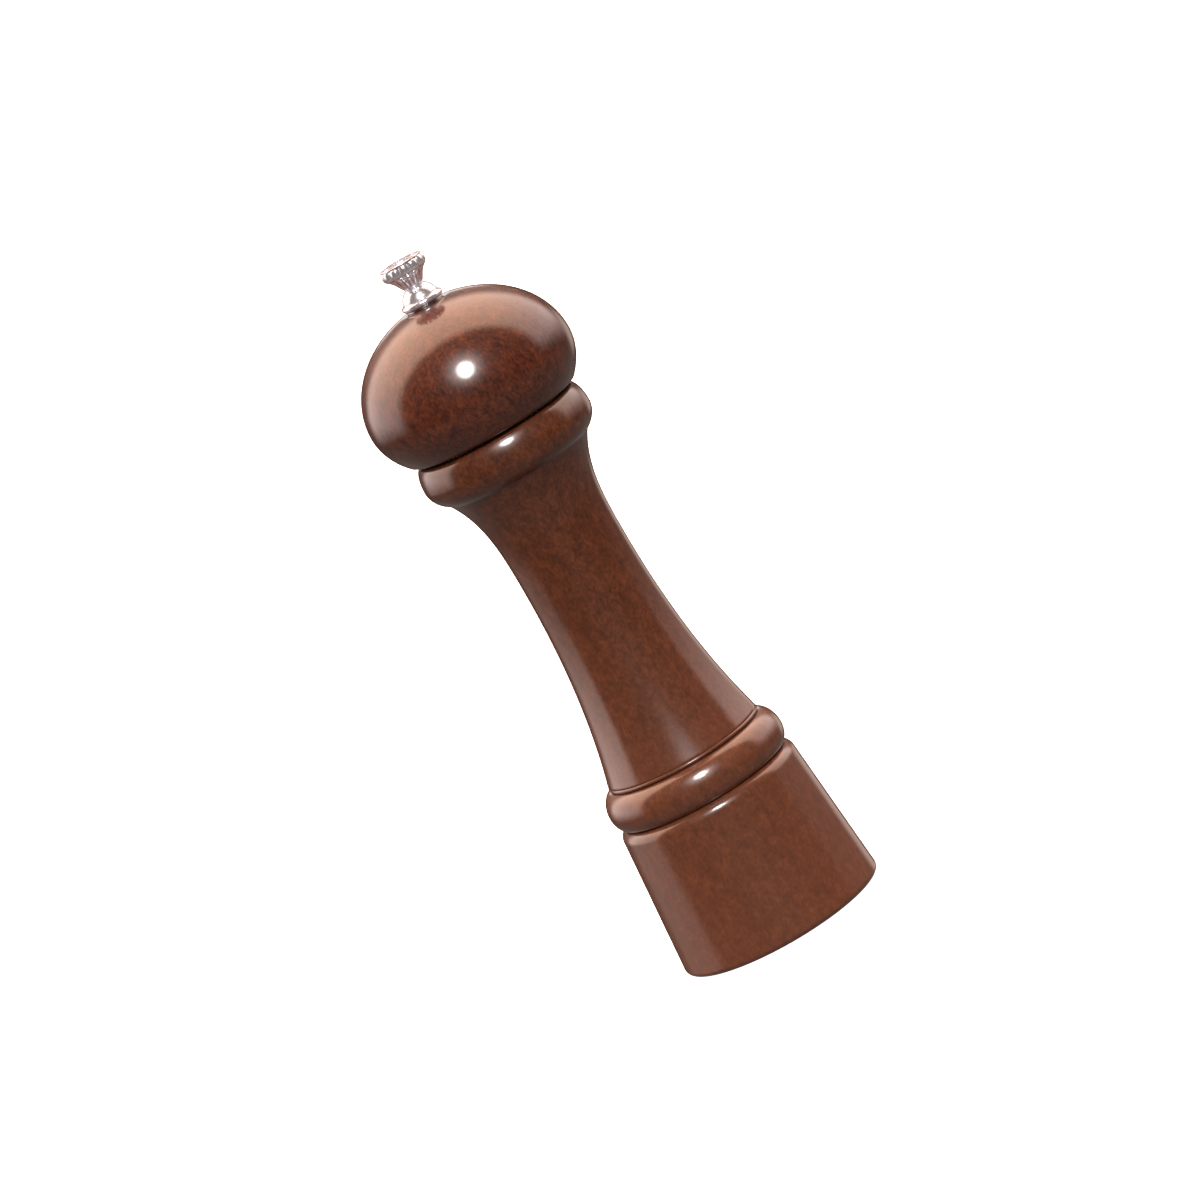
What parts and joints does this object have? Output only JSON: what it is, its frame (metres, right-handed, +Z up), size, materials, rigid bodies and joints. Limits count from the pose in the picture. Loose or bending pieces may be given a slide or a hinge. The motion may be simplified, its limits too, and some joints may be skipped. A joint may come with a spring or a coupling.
{
  "type": "pepper mill",
  "caption": "Turned wooden pepper mill with a ball head, beaded barrel, plated adjusting knob and a square-shaft grinding mechanism that turns, lifts and adjusts.",
  "frame": {"origin": "centre of the flat base that the mill stands on", "axes": "+Z up along the spindle, towards the knob; +X and +Y are level, with the shaft's flats square to them"},
  "size_m": [0.0596, 0.0596, 0.203],
  "materials": {
    "wood": "dark stained hardwood under clear gloss lacquer",
    "chrome": "bright chrome plate",
    "steel": "machined steel, satin",
    "zinc_plate": "zinc plated steel, satin",
    "brass": "turned brass, satin",
    "nylon": "natural nylon, matt"
  },
  "bodies": {
    "mill_body": {"barrel": "wood", "stator": "steel", "retainer_plate": "zinc_plate", "retainer_screw_1": "steel", "retainer_screw_2": "steel", "retainer_screw_3": "steel", "bridge": "zinc_plate", "bridge_bush": "brass", "bridge_rivet_1": "steel", "bridge_rivet_2": "steel", "spring": "steel"},
    "glide_washer": {"glide_washer": "nylon"},
    "head": {"head": "wood", "drive_plate": "zinc_plate", "drive_plate_screw_1": "steel", "drive_plate_screw_2": "steel"},
    "knob_washer": {"knob_washer": "steel"},
    "knob": {"knob": "chrome"},
    "thrust_washer": {"thrust_washer": "brass"},
    "grinder_shaft": {"shaft": "zinc_plate", "rotor": "steel", "rotor_washer": "zinc_plate", "rotor_nut": "zinc_plate"}
  },
  "joints": [
    {"name": "head_lift", "type": "slide", "parent": "mill_body", "child": "glide_washer", "axis": [0, 0, 1], "range_m": [0, 0.085]},
    {"name": "head_turn", "type": "hinge", "parent": "glide_washer", "child": "head", "pos_m": [0, 0, 0.1542], "axis": [0, 0, 1], "continuous": true},
    {"name": "knob_lift", "type": "slide", "parent": "head", "child": "knob_washer", "axis": [0, 0, 1], "range_m": [0, 0.02]},
    {"name": "knob_turn", "type": "hinge", "parent": "knob_washer", "child": "knob", "pos_m": [0, 0, 0.1904], "axis": [0, 0, 1], "range_deg": [-227, 454]},
    {"name": "grind_setting", "type": "slide", "parent": "mill_body", "child": "thrust_washer", "axis": [0, 0, 1], "range_m": [-0.001, 0.0005], "deforming": ["spring"]},
    {"name": "rotor_turn", "type": "hinge", "parent": "thrust_washer", "child": "grinder_shaft", "pos_m": [0, 0, 0.0266], "axis": [0, 0, 1], "continuous": true}
  ],
  "couplings": [
    {"joint": "rotor_turn", "follows": "head_turn", "ratio": 1},
    {"joint": "knob_turn", "follows": "grind_setting", "rad_per_m": -7913.3}
  ]
}
